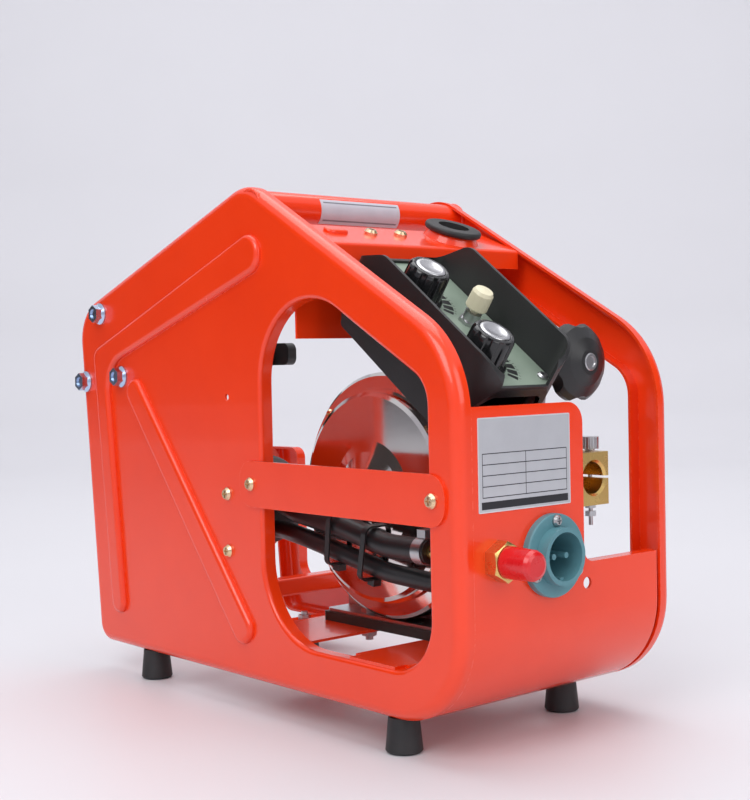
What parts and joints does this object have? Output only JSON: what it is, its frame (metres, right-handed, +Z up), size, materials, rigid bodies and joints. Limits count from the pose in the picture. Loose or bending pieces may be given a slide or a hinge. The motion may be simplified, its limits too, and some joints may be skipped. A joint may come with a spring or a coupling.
{
  "type": "wire feeder",
  "caption": "Open-frame welding wire feeder with a handle tube, sloping control tray, disc motor, roll drive, torch clamp block, gas inlet and a spool hub at the rear.",
  "frame": {"origin": "bottom centre of the overall box, on the floor", "axes": "+X to the feeder's right seen from its front, +Y from front to rear, +Z up"},
  "size_m": [0.218, 0.507, 0.3895],
  "materials": {
    "paint": "glossy orange-red paint",
    "black_paint": "fine-textured black paint",
    "sage_plate": "matte printed sage plate",
    "white_label": "satin film",
    "rubber": "matte",
    "hose_rubber": "smooth satin",
    "nylon": "satin black nylon",
    "phenolic": "pressed board",
    "knob_black": "gloss black with a bright insert",
    "ivory": "satin ivory",
    "red_cap": "gloss red",
    "teal": "moulded satin teal",
    "nickel": "bright nickel plate",
    "zinc_blue": "blue zinc plate",
    "zinc_yellow": "yellow zinc plate",
    "steel": "ground",
    "cast": "cast, bead-blasted",
    "machined": "milled",
    "brass": "machined"
  },
  "bodies": {
    "frame": {"left_side_panel": "paint", "right_side_frame": "paint", "front_panel": "paint", "handle_tube": "paint", "handle_label": "white_label", "top_cross_channel": "paint", "cable_grommet": "rubber", "window_strap": "paint", "panel_screws": "zinc_yellow", "hub_bracket_bolts": "zinc_blue", "nameplate": "white_label", "rubber_feet": "rubber", "foot_bolts": "steel", "front_cross_plate": "paint", "rear_cross_plate": "paint", "rear_cross_rail": "paint", "insulating_plate": "phenolic", "motor_bracket": "steel", "mount_bolts": "steel", "motor_cover": "nickel", "motor_body": "nickel", "motor_rim_screws": "zinc_yellow", "gearbox_housing": "cast", "shaft_bearings": "steel", "feed_plate": "machined", "hinge_pins": "steel", "wire_guides": "brass", "torch_clamp_block": "brass", "clamp_nuts": "steel", "gas_inlet": "brass", "control_socket": "teal", "small_screws": "steel", "boot_bracket": "paint", "hose_boot": "rubber", "gas_hose": "hose_rubber", "control_lead": "hose_rubber", "cable_ties": "nylon", "hose_clamp": "steel", "control_box": "black_paint", "control_plate": "sage_plate", "potentiometers": "steel", "button_collar": "steel", "hub_bracket": "black_paint"},
    "rotor": {"motor_rotor": "steel"},
    "drive_train": {"drive_gear": "steel", "drive_shaft": "steel", "drive_roll": "steel", "roll_retainer": "knob_black"},
    "pressure_arm": {"pressure_arm": "cast"},
    "pressure_roll": {"pressure_roll": "steel"},
    "tension_rod": {"tension_rod": "steel", "tension_spring": "steel"},
    "tension_knob": {"tension_knob": "nylon"},
    "clamp_screw": {"clamp_screw": "steel"},
    "gas_cap": {"gas_cap": "red_cap"},
    "voltage_knob": {"voltage_knob": "knob_black"},
    "current_knob": {"current_knob": "knob_black"},
    "inch_button": {"inch_button": "ivory"},
    "spool_hub": {"spool_hub": "nylon"},
    "hub_lock": {"hub_lock": "nylon"}
  },
  "joints": [
    {"name": "voltage_knob_turn", "type": "hinge", "parent": "frame", "child": "voltage_knob", "pos_m": [-0.0475, -0.18643, 0.25742], "axis": [0, -0.6004, 0.7997], "range_deg": [-135, 135]},
    {"name": "current_knob_turn", "type": "hinge", "parent": "frame", "child": "current_knob", "pos_m": [-0.0475, -0.12646, 0.30245], "axis": [0, -0.6004, 0.7997], "range_deg": [-135, 135]},
    {"name": "inch_button_press", "type": "slide", "parent": "frame", "child": "inch_button", "axis": [0, 0.6004, -0.7997], "range_m": [0, 0.003], "stiffness_N_per_m": 600},
    {"name": "gas_cap_pull", "type": "slide", "parent": "frame", "child": "gas_cap", "axis": [0, -1, 0], "range_m": [0, 0.03]},
    {"name": "drive_spin", "type": "hinge", "parent": "frame", "child": "drive_train", "pos_m": [0.048, -0.10187, 0.1575], "axis": [1, 0, 0], "continuous": true},
    {"name": "rotor_spin", "type": "hinge", "parent": "frame", "child": "rotor", "pos_m": [-0.003, -0.066, 0.1605], "axis": [1, 0, 0], "continuous": true},
    {"name": "pressure_arm_lift", "type": "hinge", "parent": "frame", "child": "pressure_arm", "pos_m": [0.048, -0.13587, 0.202], "axis": [1, 0, 0], "range_deg": [0, 15]},
    {"name": "pressure_roll_spin", "type": "hinge", "parent": "pressure_arm", "child": "pressure_roll", "pos_m": [0.048, -0.10187, 0.1906], "axis": [1, 0, 0], "continuous": true},
    {"name": "tension_rod_swing", "type": "hinge", "parent": "frame", "child": "tension_rod", "pos_m": [0.048, -0.06788, 0.2558], "axis": [-1, 0, 0], "range_deg": [0, 60]},
    {"name": "tension_knob_turn", "type": "hinge", "parent": "tension_rod", "child": "tension_knob", "pos_m": [0.048, -0.1995, 0.2558], "axis": [0, -1, 0], "continuous": true},
    {"name": "clamp_screw_turn", "type": "hinge", "parent": "frame", "child": "clamp_screw", "pos_m": [0.061, -0.1865, 0.193], "axis": [0, 0, 1], "continuous": true},
    {"name": "spool_hub_turn", "type": "hinge", "parent": "frame", "child": "spool_hub", "pos_m": [-0.051, 0.2115, 0.267], "axis": [1, 0, 0], "continuous": true},
    {"name": "hub_lock_swing", "type": "hinge", "parent": "frame", "child": "hub_lock", "pos_m": [0.065, 0.2115, 0.267], "axis": [1, 0, 0], "range_deg": [0, 90]}
  ],
  "couplings": [
    {"joint": "rotor_spin", "follows": "drive_spin", "ratio": -3.5},
    {"joint": "pressure_arm_lift", "follows": "tension_rod_swing", "ratio": 0.25}
  ]
}
